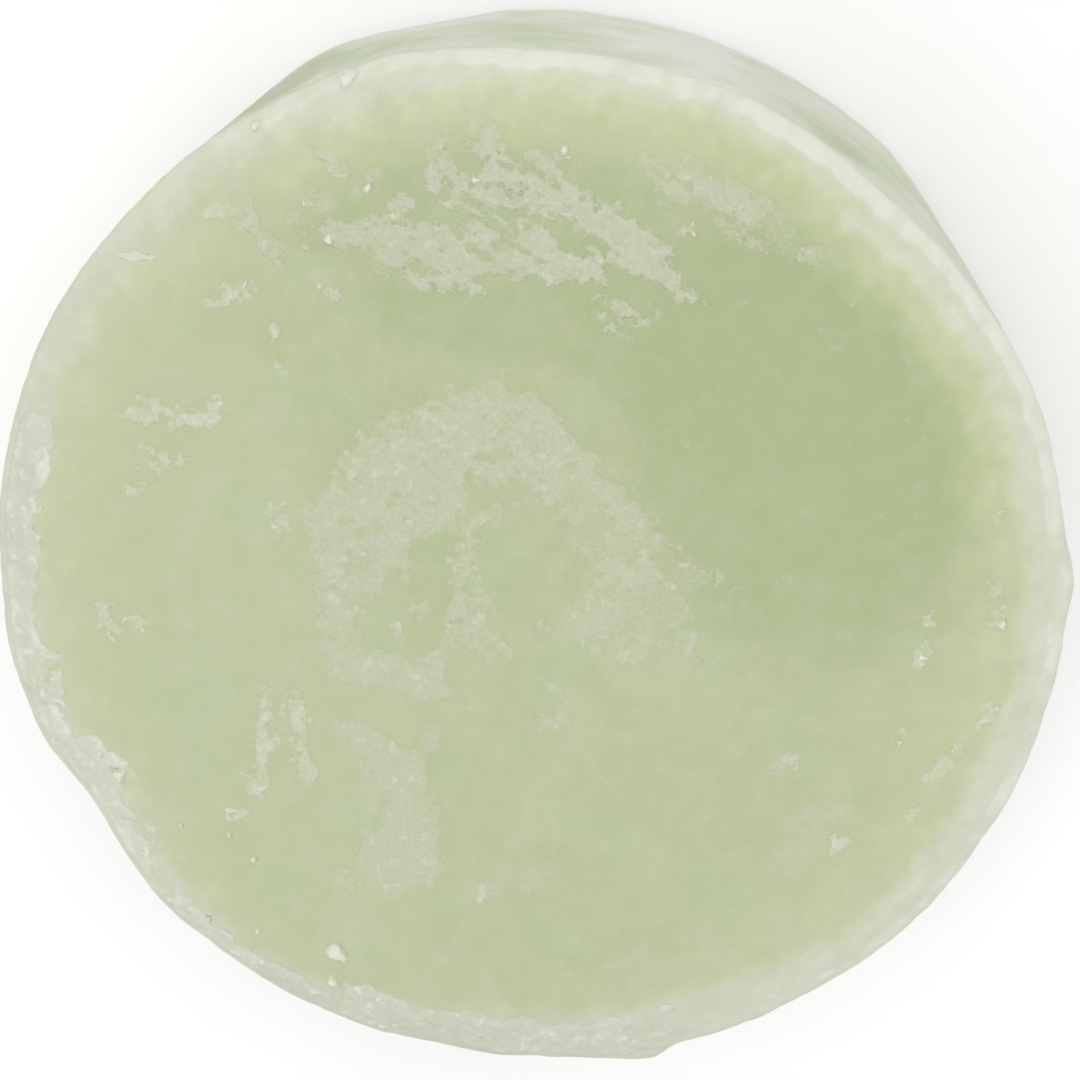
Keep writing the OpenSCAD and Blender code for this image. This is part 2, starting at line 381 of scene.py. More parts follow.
def wiped_and_shade_mask(x, y):
    """Darker, bare soap right of the face's middle, partly painted shade; the paler haze to the lower left
    is partly a painted soft reflection.
    """
    body = 1 - np.hypot((x - 17) / 16, (y - 11) / 19)
    left = ramp(x + 0.35 * y, 5, 14)
    low = np.clip((y + 0.15 * x + 3 * fractal(x, y, 7, 59, 3) + 12.5) / 24, 0, 1)
    wiped_and_shaded = left * (0.35 + 0.65 * low) * smooth(body * 2.2 + 0.2)
    result = np.maximum(wiped_and_shaded, 0.2 * ramp(x - 0.2 * y, -10, 2))
    for px, py, length, width, strength in DARKER_AND_SHADED:
        inside = 1 - np.hypot((x - px) / length, (y - py) / width)
        result = np.maximum(result, strength * smooth(1.6 * inside))
    blots = 0.16 * fractal(x, y, 3, 58, 4)
    return np.clip(result + blots * (1 - wiped_and_shaded), 0, 1)


# -------- dried film: where it lies


def outline_edges(node):
    """The outline of a CAD film node, seen from above, as segments."""
    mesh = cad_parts[node].data
    points = node_points(node)[:, :2].round(4)
    used = {}
    for polygon in mesh.polygons:
        if polygon.normal.z < 0.3:
            continue
        corners = [tuple(points[i]) for i in polygon.vertices]
        for a, b in zip(corners, corners[1:] + corners[:1]):
            key = (min(a, b), max(a, b))
            used[key] = used.get(key, 0) + 1
    return np.array([key for key, times in used.items() if times == 1])


def signed_distance(x, y, edges):
    """Distance to the outline, above zero inside it."""
    distance = np.full(x.shape, 1e9)
    inside = np.zeros(x.shape, bool)
    for (ax, ay), (bx, by) in edges:
        distance = np.minimum(distance, segment_distance(x, y, (ax, ay), (bx, by)))
        crosses = (ay > y) != (by > y)
        at = ax + (y - ay) * (bx - ax) / (by - ay if by != ay else 1)
        inside ^= crosses & (x < at)
    return np.where(inside, distance, -distance)


def dab_distance(x, y, dabs):
    """Rough distance inside the nearest of some oval dabs: place, length, width and turn in degrees."""
    best = np.full(x.shape, -9.0)
    for px, py, length, width, turn in dabs:
        a = math.radians(turn)
        u = ((x - px) * math.cos(a) + (y - py) * math.sin(a)) / (length / 2)
        v = (-(x - px) * math.sin(a) + (y - py) * math.cos(a)) / (width / 2)
        best = np.maximum(best, (1 - np.hypot(u, v)) * width / 2)
    return best


@dataclass(eq=False)
class Film:
    """One dried film: its CAD outline, changed by dabs of film and gaps, and broken up by its grain."""

    node: str
    dabs: tuple = ()  # ovals of film beyond the outline: place, length, width and turn
    gaps: tuple = ()  # ovals without film
    thin: tuple = ()  # ovals of thinner film
    cap: float = 0.8  # depth at which the film stops growing thicker
    grain: float = 0.6  # how much the grain breaks it up
    cell: float = 0.7  # size of the grain
    streak: float = None  # direction of a drawn-out grain, in degrees
    pits: float = 1.0  # the lower, the more holes
    ragged: float = 0.0  # how far the outline wanders on a small scale
    soft: float = 0.8  # width over which the colour sets in at the edge
    body: float = 0.07  # thickness of the shell
    rim: float = 0.0  # how much the border stands up
    seed: int = 1

    def __post_init__(self):
        self.edges = outline_edges(self.node)
        places = np.array([dab[:2] for dab in self.dabs]).reshape(-1, 2)
        reach = np.concatenate([self.edges.reshape(-1, 2), places])
        self.low, self.high = reach.min(0) - 3, reach.max(0) + 3

    def field(self, x, y):
        """Above zero where there is film. About the distance in mm from its ragged edge."""
        near = (x > self.low[0]) & (x < self.high[0]) & (y > self.low[1]) & (y < self.high[1])
        result = np.full(x.shape, -9.0)
        result[near] = self.near_field(x[near], y[near])
        return result

    def near_field(self, x, y):
        bent_x = x + 0.4 * fractal(x, y, 1.8, 81, 3) + self.ragged * fractal(x, y, 0.6, 83, 3, 0.7)
        bent_y = y + 0.4 * fractal(x, y, 1.8, 82, 3) + self.ragged * fractal(x, y, 0.6, 84, 3, 0.7)
        inside = signed_distance(bent_x, bent_y, self.edges)
        inside = np.maximum(inside, dab_distance(bent_x, bent_y, self.dabs))
        if self.gaps:
            inside = np.minimum(inside, -dab_distance(bent_x, bent_y, self.gaps))
        inside = np.where(inside < -0.4, 1.6 * inside + 0.24, inside)
        cap = self.cap * (0.85 + 0.55 * fractal(x, y, 2, self.seed + 50, 3))
        for dab in self.thin:
            cap -= 0.8 * self.cap * smooth(1.2 * dab_distance(x, y, [dab]) / (dab[3] / 2))
        inside = np.minimum(inside, cap)
        if self.streak is None:
            grain = fractal(x, y, self.cell, self.seed, 4, 0.65)
        else:
            grain = 0.65 * streaked(x, y, self.streak, 3.5 * self.cell, 0.9 * self.cell, self.seed)
            grain = grain + 0.45 * fractal(x, y, 0.8 * self.cell, self.seed + 7, 3, 0.65)
        clear = self.pits - 0.4 * fractal(x, y, 3, self.seed + 61, 2)
        clear = clear - fractal(x, y, 0.75, self.seed + 60, 3, 0.65)
        return np.minimum(inside + self.grain * grain, 1.5 * clear)

    def cover(self, x, y):
        """How thickly the film covers each point, from 0 to 1."""
        return smooth((self.field(x, y) + 0.35 * self.soft) / (1.3 * self.soft))


CENTRE = Film(
    "centre_film",
    dabs=[
        (-3.3, 3.2, 7, 1.8, 80), (-1.4, 6.1, 2.8, 1.4, 25), (2, 6.8, 3.8, 0.6, -45),
        (-9.8, 3.2, 5.4, 4, 35), (-12.2, 1.6, 2.6, 2.2, 80), (-12.2, -0.8, 4.8, 2.5, 85),
        (-6.6, -0.4, 1.6, 1.2, 0), (-8.4, -2.3, 0.9, 1.4, 0), (-3.4, -1.2, 3.2, 2.6, -50),
        (-2, -3.2, 2.6, 1.4, -50), (-4.9, -3.3, 3, 0.9, 75), (1.2, -2.2, 3, 1.3, 40),
        (-5.8, -5.8, 3, 1.6, -20), (-7.9, -6.8, 0.9, 0.9, 0), (-3.8, -7.4, 0.9, 1.1, 0),
        (3.2, 8.2, 6, 2.6, -50), (5.6, 5.8, 5, 2.2, -50), (7.4, 6.8, 2.6, 1.6, -40),
        (7.6, 4.2, 4, 1.8, -48), (5.4, 2.6, 3, 1.8, -70), (7.8, 1.8, 4.6, 2.6, -55),
        (4.3, -0.8, 3.4, 1.6, 80), (6.4, -0.6, 4, 2.4, -40), (9.4, -0.4, 4, 2, -45),
        (4.6, -2.8, 2.4, 1.2, 0), (8.4, -2.8, 3.8, 1.8, -20), (9.4, 3.6, 1.2, 0.9, -30),
        (12, 1.8, 3.6, 1.1, -25), (-1.5, 14.6, 2, 1, 0), (-8.4, 11, 5, 3, 40), (-5, 12.2, 5, 2.6, 22),
        (-3.2, -0.2, 2.6, 2.2, 60), (-11.8, -3.4, 4, 2.4, 85),
    ],
    gaps=[
        (-9.8, 11.6, 1.1, 0.7, 0), (4, 1.2, 2.2, 0.8, 75), (-2.5, 6.8, 2, 1.1, 60), (6, -3.4, 2, 1.3, 70),
        (9.8, -4, 3.4, 1.2, -20),
    ],
    thin=[
        (8.4, -0.6, 11, 8, -45), (5.2, 4.6, 9, 4.4, -52), (-1.6, -2.6, 4, 3, 0), (12, 1.6, 5, 3, -25),
    ],
    cap=0.9, grain=0.75, cell=0.65, pits=1.1, ragged=0.15, soft=0.95, body=0.05, seed=101,
)
UPPER = Film(
    "upper_film",
    dabs=[
        (-4.2, 28.8, 2.8, 1.3, -20), (-0.8, 28.6, 5.5, 2.6, -58), (-3.6, 26.9, 4.6, 3, -32),
        (-0.3, 26.8, 5.4, 3, -45), (3.4, 26.1, 6, 2.5, -38), (1.8, 29, 3.2, 0.9, -15),
        (-1.8, 30.6, 1.6, 0.9, -40), (6.2, 24.5, 4.6, 2.4, -28), (7.8, 23.2, 4.6, 2, -35),
        (10.3, 20.6, 3, 1.1, -35), (9.1, 23, 2, 0.9, -30), (0.6, 24.5, 6.6, 2, -28),
        (4.8, 22, 4, 1.4, -30), (1.6, 22.1, 4.6, 2.2, -12), (-5.4, 22.8, 7.6, 3.4, -5),
        (-1.6, 23.8, 3, 1.6, -30), (-10.6, 23.8, 5.6, 1.7, -10), (-7.6, 24.2, 3.6, 2, -10),
        (-4.6, 20.9, 1.8, 1.1, -30), (-2.2, 20.4, 1.2, 1, -40), (6.4, 19, 3.6, 2, -12),
        (-7.1, 25.9, 1.5, 1, 20), (-8.9, 27, 1, 0.8, 0), (-10.7, 28.6, 1.8, 1.2, -30),
        (-12.4, 26, 1.4, 0.7, -60), (-16.1, 24.3, 1.6, 1.1, -30), (-14.8, 23.1, 2, 1.3, -50),
        (-16.3, 25.8, 1.2, 0.7, 0),
    ],
    gaps=[
        (-1, 25.2, 2.6, 0.5, -30), (2.4, 24.6, 2.4, 0.5, -30), (-6, 22, 1.2, 0.5, 0),
        (5.6, 22.8, 2.6, 0.5, -35),
    ],
    cap=0.85, grain=0.8, cell=0.55, streak=-32, pits=0.85, ragged=0.3, soft=0.5, body=0.075, rim=0.4,
    seed=102,
)
RIGHT = Film(
    "right_film",
    dabs=[
        (12.2, 27, 4.4, 1.4, -40), (14.2, 25.6, 4.2, 2.3, -28), (9.8, 26.7, 2.4, 1.2, -40),
        (8.3, 28.1, 1.8, 1, -35), (10.8, 28.6, 1.6, 0.9, -20), (12.8, 24.6, 2, 0.9, -40),
        (15.4, 23.4, 2.2, 1.6, -25), (17.4, 23, 3.2, 1.8, -25), (10.8, 24.4, 1, 0.7, 0),
    ],
    thin=[
        (17, 23.2, 5, 4, -25),
        (9, 27.4, 4, 3, -30),
    ],
    cap=0.9, grain=0.55, cell=0.5, streak=-35, pits=1.0, ragged=0.25, soft=0.85, body=0.06, rim=0.3,
    seed=103,
)
LOWER = Film(
    "lower_film",
    dabs=[(-10.9, -9.8, 4, 2.8, -35), (-12.6, -19.8, 2.8, 0.9, 10), (-6.2, -10.4, 3, 1.4, 70)],
    cap=1.05, grain=0.5, cell=0.7, streak=80, pits=1.5, soft=0.9, body=0.05, seed=104,
)
FLAKES = Film(
    "flakes",
    dabs=[
        (30.1, 6.2, 1.1, 0.8, 90), (30.2, 1.1, 1.1, 0.7, 60), (30.5, -0.6, 1.5, 0.9, 80),
        (26.1, -0.9, 1.1, 0.8, 60), (25.6, -3.1, 1.5, 1.1, 50), (24.6, -8.6, 1.1, 0.8, 60),
        (29.9, -7.2, 1.5, 0.7, 70), (28.2, -9.4, 1.7, 0.9, 60), (27.3, -10.6, 1.8, 1.1, 50),
        (26.5, -12, 1.9, 1, 60), (25.6, -14.2, 1.3, 0.8, 60), (-18.2, 25.4, 1.5, 0.8, 0),
        (-16.6, 20.7, 1.4, 0.9, 25), (-17.7, 19.8, 1.5, 1, 20), (-18.9, 19.4, 1, 0.8, 0),
        (-11.4, 20.4, 1.1, 0.9, 0), (-15, 17.8, 0.9, 0.9, 0), (-14.5, 15.4, 1, 1, 0),
        (-23.4, 12.7, 3.4, 1, -5), (-22.4, 12.5, 4.6, 1.4, -4), (-19.3, 12.9, 1.8, 1.2, 20),
        (-20, 12.3, 3.6, 1.7, -4), (-22.6, 9.6, 3.2, 1.1, -15), (-24.6, 7.4, 2.4, 0.8, 45),
        (-15.6, 6.2, 1.3, 1, 0), (-15.4, 4.8, 1.5, 0.8, 0), (-27, -2, 3.2, 1.3, -60),
        (-25.3, -1.9, 1.3, 1, -50), (-27.4, -0.9, 1.7, 1.2, 0), (-17.1, -7.8, 3.2, 1.4, 85),
        (-17.2, -10.8, 3.8, 1.8, 85), (-17.8, -13.4, 2.8, 1.7, 75), (-19.5, -15.5, 1.5, 1.1, 30),
        (-14.9, -8, 3, 1.2, -70), (-14.6, -11.6, 3.8, 1.4, -75),
    ],
    cap=0.7, grain=0.55, cell=0.5, soft=1, body=0.05, rim=0.3, seed=106,
)
CRUST = Film(
    "edge_film",
    dabs=[(-31.8, -9.9, 3.2, 2, -60), (-28.2, -11.8, 3.6, 1.8, -40), (-14.6, -30.2, 3, 2, -25)],
    gaps=[
        (-30.9, 13.4, 4.5, 2.6, 20), (-31.2, -1.4, 7, 1.7, 88), (-28.7, 10.8, 6, 2.2, 82),
        (-30.2, -6.3, 5, 1.8, -88), (-26.2, -15, 3.4, 1.6, -80), (-24.2, -19.4, 4.4, 2, -60),
        (-21.4, -22.8, 4, 1.6, -50), (8.6, -30.4, 3, 1.6, 20),
    ],
    cap=1.2, grain=0.6, cell=1.1, pits=1.6, body=0.1, rim=0.85, seed=105,
)
FACE_FILMS = (CENTRE, UPPER, RIGHT, LOWER, FLAKES)

# Faint patches of film too thin to stand proud of the cake: place, radius and strength
FAINT_PATCHES = [
    (19.5, -15.8, 3, 0.75), (17.2, -17.4, 1.6, 0.8), (17.3, -10.8, 1.2, 0.85), (13, -15.2, 1.3, 0.35),
    (-2.2, -20.4, 1.7, 0.75), (0.2, -19.6, 1.4, 0.7), (1.6, -19, 1.1, 0.5), (11.6, 1.8, 1.7, 0.5),
    (9, -1.2, 4.6, 0.45), (6, -1.2, 4, 0.45), (4.4, 6.4, 3.4, 0.55), (7, 4, 3.4, 0.5),
    (11.4, -3.8, 2.6, 0.3), (-9, 2, 4, 0.5), (-3, -1.6, 3, 0.4), (0.6, 5.4, 3, 0.25), (-4, 1.2, 3, 0.2),
    (16.4, 24, 2.2, 0.4), (18.4, 22.8, 1.2, 0.5), (7, 30.4, 1.6, 0.35), (3, 30.6, 1.1, 0.3),
    (7.2, -27, 1, 0.4), (4.6, -18, 1.2, 0.35), (-10.4, 29.2, 1.6, 0.4), (-14.4, 28.4, 1.5, 0.3),
    (-12.4, 31, 2.2, 0.6), (-17, 28.4, 2.4, 0.55), (-20, 26.2, 2.2, 0.5), (-7.6, 31.2, 2.4, 0.6),
    (-2, 31.4, 1.6, 0.5), (-22.8, 23.2, 2.2, 0.4), (-13.2, 26.4, 1.4, 0.3), (2.2, 14.8, 2, 0.25),
    (-24, 9.4, 2, 0.35), (-25.2, 6.4, 1.3, 0.25), (-26.3, 2.6, 0.7, 0.4), (-23, -10.4, 1.2, 0.3),
    (-23.4, -14.6, 1.3, 0.25), (-15, -9, 1, 0.35), (24, -19.6, 3, 0.35), (22, -21, 2.4, 0.35),
    (27.6, -10.4, 1.8, 0.45), (26.8, -12.8, 1.3, 0.4), (-15.4, 5.4, 1.3, 0.5), (-6.8, -28.4, 1.3, 0.35),
    (12, -26, 3, 0.4), (16.6, -23.4, 3.2, 0.4), (6.4, -28.6, 2.6, 0.4), (21.4, -20, 3, 0.4),
    (-12, -24, 2.4, 0.4), (-5, -26.4, 2.6, 0.35), (-26.6, -11.4, 2, 0.4), (-25, -15.4, 2, 0.35),
    (-20.6, -7.4, 1.6, 0.3), (-22, 14, 2.4, 0.3), (-2, -29.4, 1, 0.45), (2.6, -7.6, 1.8, 0.5),
    (8, -26.8, 3, 0.5), (18.4, -24, 3, 0.45), (-15.4, 12.4, 1.6, 0.5), (-16.8, -6, 1.6, 0.4),
    (-12.6, 26.2, 0.7, 0.9), (-11.5, 25.8, 0.6, 0.8), (-9.3, 26.7, 0.8, 0.9), (-8.3, 27.6, 0.7, 0.8),
    (-10.6, 28.4, 1.1, 0.8), (-6.8, 25.9, 0.9, 0.8), (-13.5, 24.7, 0.9, 0.7), (-15, 25.4, 0.8, 0.8),
    (-5, 30.4, 0.9, 0.7), (-15, 29.4, 1.1, 0.6), (-18.4, 25.4, 0.9, 0.7), (3.2, 29.3, 0.6, 0.9),
    (-23, -12.6, 0.9, 0.6), (-23.3, -16, 0.6, 0.8), (-20.8, -16.6, 0.5, 0.8), (-18.5, -18.6, 0.6, 0.8),
    (-24, -14.4, 0.7, 0.5), (-18.5, -24.4, 0.6, 0.7), (-22.4, -9.8, 0.9, 0.4), (-21.6, -1.8, 0.6, 0.6),
    (-20.6, -3.4, 1.1, 0.4), (-6, -30.2, 2.4, 0.5), (-12, -27.2, 2.8, 0.4), (-18, -27, 2, 0.35),
    (-12.2, -8.8, 1.5, 0.5), (-3, -9, 1.3, 0.35), (-20.6, 24.6, 1.6, 0.5), (-23.4, 22, 1.4, 0.5),
    (-12.4, 29.8, 1.6, 0.5), (-8.6, 31.4, 1.4, 0.4), (7.4, 30.8, 1.2, 0.4),
]
# Long faint scratches and ridges: ends and strength
FAINT_LINES = [
    ((-23.4, -4.6), (-19.2, -6.8), 0.6), ((-3.6, 4.4), (-3.8, 0.6), 0.6),
    ((-15.6, -5.6), (-15.2, -7.2), 0.5), ((26, -1), (25.4, -4), 0.3), ((24.9, -7.8), (24.4, -9.4), 0.45),
]


def film_mask(x, y):
    """How thickly the face is covered with film, from 0 to 1."""
    film = np.zeros_like(x)
    for part in FACE_FILMS:
        film = np.maximum(film, part.cover(x, y))
    edge = 0.6 * fractal(x, y, 1.1, 61, 4)
    for px, py, radius, strength in FAINT_PATCHES:
        inside = 1 - np.hypot(x - px, y - py) / radius + edge
        film = np.maximum(film, strength * smooth(inside * 1.2))
    for start, end, strength in FAINT_LINES:
        inside = 1 - segment_distance(x, y, start, end) / 0.35 + edge
        film = np.maximum(film, strength * smooth(inside))
    specks = 1.5 * (fractal(x, y, 0.9, 62, 3) - 0.75)
    crest = smooth(1 - path_distance(x, y, CREST) / 1.3) * (0.35 + 0.6 * fractal(x, y, 0.8, 63, 3))
    return np.clip(np.maximum.reduce([film, specks, 0.7 * crest]), 0, 1)


def crust_mask(x, y):
    """Grey crust on the shoulder, which runs on out to the arris."""
    r = np.hypot(x, y)
    pull = np.minimum(1, (CAKE_R - 1.4) / np.maximum(r, 1))
    return smooth((CRUST.field(x * pull, y * pull) + 0.3) / 0.7)


def face_attributes(x, y):
    """What the material needs to know about each point of the used face and shoulder."""
    bloom, band, light = shoulder_masks(x, y)
    return {
        "clean_and_shade": wiped_and_shade_mask(x, y),
        "bloom": bloom,
        "film": film_mask(x, y),
        "crust": np.maximum(crust_mask(x, y), 0.9 * band),
        "wall": np.zeros_like(x),
        "pale": light,
    }


# Paler and darker parts of the side wall: direction, height, half width in degrees, half height and change.
# The dark patch at 120 degrees is painted shade on the side turned from the light
WALL_PATCHES_AND_SHADE = [
    (72, 10, 10, 10, 0.4), (88, 13, 9, 5, -0.2), (54, 12, 15, 5, -0.25), (57, 16, 7, 3.5, -0.35),
    # The patch at 120 degrees on this line is painted shade on the side turned away from the light
    (78, 5, 30, 4, 0.2), (120, 10, 20, 12, -0.5), (101, 4, 14, 3, 0.25), (69, 19, 9, 3, 0.6),
    (82, 8, 6, 3, 0.3), (111, 16, 3.5, 4, 0.5), (150, 12, 20, 7, -0.2), (190, 8, 24, 6, 0.3),
    (230, 14, 20, 5, -0.3), (270, 8, 22, 7, 0.3), (300, 15, 16, 4, -0.3), (330, 6, 20, 5, 0.3),
    (5, 14, 18, 5, -0.3),
]


def wall_streaks(theta, z, seed):
    """Noise on the side wall, drawn out round it, with no seam."""
    near_seam = smooth((np.abs(theta) - 2.7) / 0.4)
    plain = fractal(0.2 * CAKE_R * theta + 0.15 * z, z * 0.8, 1.8, seed, 4)
    mirrored = fractal(0.2 * CAKE_R * np.abs(theta) + 0.15 * z + 40, z * 0.8, 1.8, seed, 4)
    return plain + (mirrored - plain) * near_seam


def pale_and_shade_mask(theta, z):
    """How pale the side wall is, in soft bands that run round it, with painted shade near 120 degrees."""
    clouds = ring_noise(theta, z, 8, 72, 3)
    ragged = 0.5 * ring_noise(theta, z, 3, 73, 4)
    pale = 0.6 + 0.18 * wall_streaks(theta, z, 71) + 0.2 * clouds + 0.3 * ramp(z, 4, 1)
    for direction, height, half_width, half_height, change in WALL_PATCHES_AND_SHADE:
        inside = 1 - np.hypot(angle_from(theta, direction) / half_width, (z - height) / half_height)
        pale += change * smooth(1.2 * inside + ragged)
    return np.clip(pale, 0, 1)


# -------- dried film as thin shells


def cut_grid(field):
    """Marching squares: the polygons of the part of a grid where field is above zero.

    Returns points as grid coordinates (column, row) and polygons over them.
    """
    inside = field > 0
    number = np.full(field.shape, -1)
    number[inside] = np.arange(inside.sum())
    r, c = np.nonzero(inside)
    points = [np.stack([c, r], -1).astype(float)]
    full = inside[:-1, :-1] & inside[:-1, 1:] & inside[1:, 1:] & inside[1:, :-1]
    some = inside[:-1, :-1] | inside[:-1, 1:] | inside[1:, 1:] | inside[1:, :-1]
    r, c = np.nonzero(full)
    around = [number[r, c], number[r, c + 1], number[r + 1, c + 1], number[r + 1, c]]
    polygons = np.stack(around, -1).tolist()
    crossings, extra = {}, []

    def crossing(p, q):
        key = (min(p, q), max(p, q))
        if key not in crossings:
            crossings[key] = int(inside.sum()) + len(extra)
            share = field[key[0]] / (field[key[0]] - field[key[1]])
            share = min(max(share, 0.15), 0.85)
            across = key[0][1] + share * (key[1][1] - key[0][1])
            along = key[0][0] + share * (key[1][0] - key[0][0])
            extra.append((across, along))
        return crossings[key]

    for r, c in zip(*np.nonzero(some & ~full)):
        corners = [(r, c), (r, c + 1), (r + 1, c + 1), (r + 1, c)]
        polygon = []
        for p, q in zip(corners, corners[1:] + corners[:1]):
            if inside[p]:
                polygon.append(int(number[p]))
            if inside[p] != inside[q]:
                polygon.append(crossing(p, q))
        polygons.append(polygon)
    return np.concatenate(points + [np.array(extra).reshape(-1, 2)]), polygons


# How far a shell reaches into the cake, and how far its thin edge stands above it
FILM_SINK = 0.05
EDGE_LIFT = 0.012
# Shells stay this far inside the arris, and inside the reach of their films
SHELL_MARGIN = 0.6


def film_shell(name, film, material, pitch):
    """A closed thin shell on the cake in place of a CAD film node. It thins out to nothing at its edge."""
    low, high = film.low + SHELL_MARGIN, film.high - SHELL_MARGIN
    x, y = np.meshgrid(np.arange(low[0], high[0], pitch), np.arange(low[1], high[1], pitch))
    field = film.field(x, y)
    field[np.hypot(x, y) > edge_radius(np.arctan2(y, x)) - SHELL_MARGIN] = -1
    field[[0, -1], :] = -1
    field[:, [0, -1]] = -1
    cells, polygons = cut_grid(field)
    px, py = low[0] + cells[:, 0] * pitch, low[1] + cells[:, 1] * pitch
    column, row = cells[:, 0].round().astype(int), cells[:, 1].round().astype(int)
    on_grid = (cells == cells.round()).all(1)
    depth = np.where(on_grid, field[row, column], 0)
    sand = fractal(px, py, 0.4, film.seed + 20, 2)
    thickness = EDGE_LIFT + film.body * smooth(depth / 0.7) * (1 + 0.55 * sand)
    grit = ramp(fractal(px, py, 0.45, film.seed + 30, 3), 0.45, 1) * ramp(depth, 0.02, 0.25)
    border = film.rim * ramp(depth, 0, 0.2) * ramp(depth, 1, 0.4)
    if film is CRUST:
        # It is flat at its two ends
        border *= ramp(py, -31, -25) * ramp(py, 12.6, 10)
    thickness += 0.5 * film.body * grit + 0.8 * film.body * border
    base = surface_height(px, py)
    count = len(px)
    top = np.stack([px, py, base + np.maximum(thickness, EDGE_LIFT)], -1)
    bottom = np.stack([px, py, base - FILM_SINK], -1)
    faces = [tuple(p) for p in polygons] + [tuple(i + count for i in reversed(p)) for p in polygons]
    directed = set()
    for polygon in polygons:
        directed.update(zip(polygon, polygon[1:] + polygon[:1]))
    faces += [(b, a, a + count, b + count) for a, b in directed if (b, a) not in directed]
    attributes = {key: np.tile(values, 2) for key, values in face_attributes(px, py).items()}
    border *= ramp(fractal(px, py, 1.2, film.seed + 40, 3), -0.1, 0.6)
    attributes["grit"] = np.tile(np.maximum(grit, border), 2)
    piece = make_object(name, np.concatenate([top, bottom]), faces, attributes)
    piece.data.set_sharp_from_angle(angle=math.radians(50))
    piece.data.materials.append(material)
    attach(piece, "root")
    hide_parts(film.node)


def make_films(film_material, flake_material, crust_material):
    """Each dried film as its own ragged shell."""
    film_shell("film_centre", CENTRE, film_material, 0.13)
    film_shell("film_upper", UPPER, film_material, 0.1)
    film_shell("film_right", RIGHT, film_material, 0.1)
    film_shell("film_lower", LOWER, film_material, 0.12)
    film_shell("flakes_loose", FLAKES, flake_material, 0.1)
    film_shell("film_edge", CRUST, crust_material, 0.14)


# -------- materials


# Light that falls on the face, so that colours can be given as they look there
FACE_LIGHT = 1.08


def srgb(red, green, blue):
    """The linear colour that looks like a display colour, 0 to 255, under the light on the face."""
    values = [v / 255 for v in (red, green, blue)]
    linear = [v / 12.92 if v <= 0.04045 else ((v + 0.055) / 1.055) ** 2.4 for v in values]
    return (*[v / FACE_LIGHT for v in linear], 1)


class Nodes:
    """Builds a material's node tree in short calls."""

    def __init__(self, name):
        self.material = bpy.data.materials.new(name)
        self.material.use_nodes = True
        self.tree = self.material.node_tree
        self.shader = self.tree.nodes["Principled BSDF"]
        self.position = self.add("ShaderNodeTexCoord").outputs["Object"]

    def put(self, value, socket):
        """Links a socket, or sets a plain value."""
        if isinstance(value, bpy.types.NodeSocket):
            self.tree.links.new(value, socket)
        else:
            socket.default_value = value

    def add(self, kind, values=None, **settings):
        """A new node. Its values go into the inputs that their keys name or number."""
        node = self.tree.nodes.new(kind)
        for key, value in settings.items():
            setattr(node, key, value)
        for key, value in (values or {}).items():
            self.put(value, node.inputs[key])
        return node

    def attribute(self, name):
        return self.add("ShaderNodeAttribute", attribute_name=name).outputs["Fac"]

    def noise(self, size_mm, detail=3, rough=0.55, stretch=(1, 1, 1), seed=0.0):
        """Noise with features of about size_mm, from 0 to 1."""
        shift = (seed, 0.37 * seed, -0.21 * seed)
        place = {"Vector": self.position, "Location": shift, "Scale": stretch}
        vector = self.add("ShaderNodeMapping", place).outputs["Vector"]
        values = {"Vector": vector, "Scale": 1 / (size_mm * MM), "Detail": detail, "Roughness": rough}
        return self.add("ShaderNodeTexNoise", values).outputs["Fac"]

    def math(self, operation, a, b):
        return self.add("ShaderNodeMath", {0: a, 1: b}, operation=operation).outputs[0]

    def remap(self, value, low, high, to_low=0.0, to_high=1.0):
        values = {"Value": value, "From Min": low, "From Max": high, "To Min": to_low, "To Max": to_high}
        return self.add("ShaderNodeMapRange", values, clamp=True).outputs["Result"]

    def mix(self, share, a, b, blend="MIX"):
        """Blend of two colours."""
        values = {0: share, 6: a, 7: b}
        return self.add("ShaderNodeMix", values, data_type="RGBA", blend_type=blend).outputs[2]

    def blend(self, share, a, b):
        """Blend of two numbers."""
        return self.add("ShaderNodeMix", {0: share, 2: a, 3: b}, data_type="FLOAT").outputs[0]

    def ramp(self, value, stops):
        """Colour ramp through (place, colour) stops."""
        node = self.add("ShaderNodeValToRGB", {"Fac": value})
        elements = node.color_ramp.elements
        elements[0].position, elements[0].color = stops[0]
        elements[1].position, elements[1].color = stops[-1]
        for place, colour in stops[1:-1]:
            elements.new(place).color = colour
        return node.outputs["Color"]

    def brightness(self, colour, factor):
        """A colour multiplied by a number."""
        grey = self.add("ShaderNodeCombineColor", {"Red": factor, "Green": factor, "Blue": factor})
        return self.mix(1.0, colour, grey.outputs["Color"], "MULTIPLY")

    def bump(self, height, strength, distance_mm, below=None):
        values = {"Strength": strength, "Distance": distance_mm * MM, "Height": height}
        if below is not None:
            values["Normal"] = below
        return self.add("ShaderNodeBump", values).outputs["Normal"]

    def finish(self, colour, roughness, normal, subsurface, radius_mm, specular):
        shader = self.shader.inputs
        self.put(colour, shader["Base Color"])
        self.put(roughness, shader["Roughness"])
        self.put(normal, shader["Normal"])
        shader["Subsurface Weight"].default_value = subsurface
        shader["Subsurface Radius"].default_value = [r * MM for r in radius_mm]
        shader["Subsurface Scale"].default_value = 1.0
        shader["IOR"].default_value = 1.46
        shader["Specular IOR Level"].default_value = specular
        return self.material
